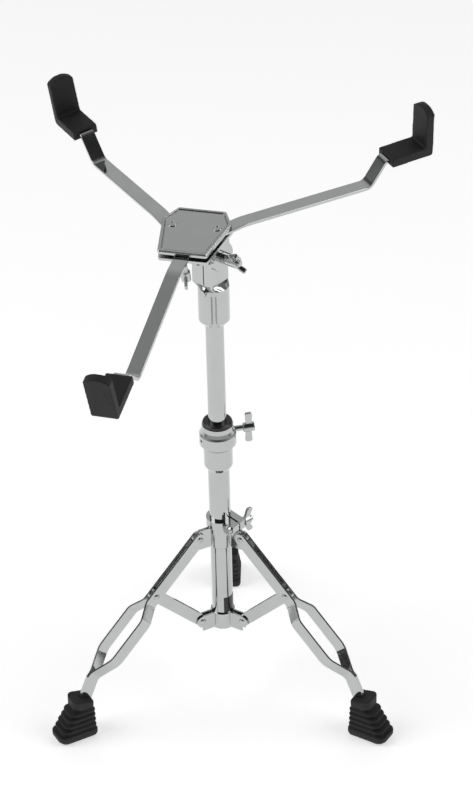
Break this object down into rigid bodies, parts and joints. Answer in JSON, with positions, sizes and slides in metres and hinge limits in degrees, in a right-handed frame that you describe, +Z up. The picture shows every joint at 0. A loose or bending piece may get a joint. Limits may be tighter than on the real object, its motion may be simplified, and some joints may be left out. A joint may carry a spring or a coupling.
{
  "type": "snare drum stand",
  "caption": "Folding chromed stand that cradles a snare drum on rubber-tipped arms, tilting on a telescopic column over double-braced legs.",
  "frame": {"origin": "floor level, under the middle of the overall box at rest", "axes": "+Z up along the column, +Y towards the rear leg, -Y towards the viewer"},
  "size_m": [0.3434, 0.424, 0.5479],
  "materials": {
    "chrome": "bright chrome plate on steel tube, strap and screws",
    "cast_chrome": "chromed die casting, slightly grainy",
    "black_plastic": "moulded black nylon bush",
    "rubber": "matte black moulded rubber",
    "sticker": "plain dark label with no text"
  },
  "bodies": {
    "column": {"lower_tube": "chrome", "height_collar": "chrome", "height_bushing": "black_plastic", "tube_sticker": "sticker", "bracket_rivets": "chrome", "bracket_segment_front": "chrome", "bracket_segment_right": "chrome", "bracket_segment_left": "chrome"},
    "height_screw": {"height_wing_screw": "chrome"},
    "leg_hub": {"hub_segment_front": "chrome", "hub_segment_right": "chrome", "hub_segment_left": "chrome", "hub_clamp_ring": "chrome", "hub_clamp_bolt": "chrome"},
    "hub_nut": {"hub_clamp_wing_nut": "chrome"},
    "post": {"upper_tube": "chrome"},
    "tilter": {"tilter_body": "chrome", "tilter_bolt": "chrome"},
    "tilt_nut": {"tilter_wing_nut": "chrome"},
    "basket": {"tilter_lug": "chrome", "basket_top_plate": "cast_chrome", "basket_bottom_plate": "cast_chrome", "arm_pivot_screws": "chrome"},
    "arm_screw": {"basket_wing_screw": "chrome"},
    "leg_right": {"leg_right_strap_a": "chrome", "leg_right_strap_b": "chrome", "leg_right_web": "chrome", "leg_right_rivets": "chrome", "boot_right": "rubber"},
    "brace_right_link": {"brace_right": "chrome"},
    "leg_rear": {"leg_rear_strap_a": "chrome", "leg_rear_strap_b": "chrome", "leg_rear_web": "chrome", "leg_rear_rivets": "chrome", "boot_rear": "rubber"},
    "brace_rear_link": {"brace_rear": "chrome"},
    "leg_left": {"leg_left_strap_a": "chrome", "leg_left_strap_b": "chrome", "leg_left_web": "chrome", "leg_left_rivets": "chrome", "boot_left": "rubber"},
    "brace_left_link": {"brace_left": "chrome"},
    "arm_front_bar": {"arm_front": "chrome", "arm_tip_front": "rubber"},
    "arm_right_bar": {"arm_right": "chrome", "arm_tip_right": "rubber"},
    "arm_left_bar": {"arm_left": "chrome", "arm_tip_left": "rubber"}
  },
  "joints": [
    {"name": "height_screw_turn", "type": "hinge", "parent": "column", "child": "height_screw", "pos_m": [-0.01728, 0.01273, 0.281], "axis": [0.9703, 0.2419, 0], "continuous": true},
    {"name": "leg_fold", "type": "slide", "parent": "column", "child": "leg_hub", "axis": [0, 0, 1], "range_m": [0, 0.0356]},
    {"name": "hub_nut_turn", "type": "hinge", "parent": "leg_hub", "child": "hub_nut", "pos_m": [-0.00604, 0.00024, 0.18475], "axis": [0.7431, 0.6691, 0], "continuous": true},
    {"name": "height_slide", "type": "slide", "parent": "column", "child": "post", "axis": [0, 0, 1], "range_m": [-0.095, 0.06]},
    {"name": "head_swivel", "type": "hinge", "parent": "post", "child": "tilter", "pos_m": [-0.01728, 0.01273, 0.415], "axis": [0, 0, 1], "continuous": true},
    {"name": "tilt_nut_turn", "type": "hinge", "parent": "tilter", "child": "tilt_nut", "pos_m": [-0.01728, 0.01273, 0.465], "axis": [0.8059, -0.592, 0], "continuous": true},
    {"name": "basket_tilt", "type": "hinge", "parent": "tilter", "child": "basket", "pos_m": [-0.01728, 0.01273, 0.465], "axis": [0.8059, -0.592, 0], "range_deg": [-40, 4]},
    {"name": "arm_screw_turn", "type": "hinge", "parent": "basket", "child": "arm_screw", "pos_m": [-0.04029, -0.00717, 0.46452], "axis": [-0.0834, -0.1136, 0.99], "continuous": true},
    {"name": "arm_front_slide", "type": "slide", "parent": "basket", "child": "arm_front_bar", "axis": [-0.2891, -0.948, -0.1331], "range_m": [-0.009, 0.017]},
    {"name": "arm_right_swing", "type": "hinge", "parent": "basket", "child": "arm_right_bar", "pos_m": [-0.01221, 0.01465, 0.48393], "axis": [-0.0834, -0.1136, 0.99], "range_deg": [-115, 20]},
    {"name": "arm_left_swing", "type": "hinge", "parent": "basket", "child": "arm_left_bar", "pos_m": [-0.05041, 0.02562, 0.48197], "axis": [-0.0834, -0.1136, 0.99], "range_deg": [-20, 115]},
    {"name": "leg_right_hinge", "type": "hinge", "parent": "leg_hub", "child": "leg_right", "pos_m": [0.00212, 0.00153, 0.172], "axis": [0.5, 0.866, 0], "range_deg": [0, 30.05]},
    {"name": "brace_right_hinge", "type": "hinge", "parent": "column", "child": "brace_right_link", "pos_m": [0.00212, 0.00153, 0.0787], "axis": [-0.5, -0.866, 0], "range_deg": [0, 30.05]},
    {"name": "leg_rear_hinge", "type": "hinge", "parent": "leg_hub", "child": "leg_rear", "pos_m": [-0.01728, 0.03513, 0.172], "axis": [-1, 0, 0], "range_deg": [0, 30.05]},
    {"name": "brace_rear_hinge", "type": "hinge", "parent": "column", "child": "brace_rear_link", "pos_m": [-0.01728, 0.03513, 0.0787], "axis": [1, 0, 0], "range_deg": [0, 30.05]},
    {"name": "leg_left_hinge", "type": "hinge", "parent": "leg_hub", "child": "leg_left", "pos_m": [-0.03668, 0.00153, 0.172], "axis": [0.5, -0.866, 0], "range_deg": [0, 30.05]},
    {"name": "brace_left_hinge", "type": "hinge", "parent": "column", "child": "brace_left_link", "pos_m": [-0.03668, 0.00153, 0.0787], "axis": [-0.5, 0.866, 0], "range_deg": [0, 30.05]}
  ],
  "couplings": [
    {"joint": "leg_right_hinge", "follows": "leg_fold", "rad_per_m": 14.73},
    {"joint": "brace_right_hinge", "follows": "leg_fold", "rad_per_m": 14.73},
    {"joint": "leg_rear_hinge", "follows": "leg_fold", "rad_per_m": 14.73},
    {"joint": "brace_rear_hinge", "follows": "leg_fold", "rad_per_m": 14.73},
    {"joint": "leg_left_hinge", "follows": "leg_fold", "rad_per_m": 14.73},
    {"joint": "brace_left_hinge", "follows": "leg_fold", "rad_per_m": 14.73}
  ]
}
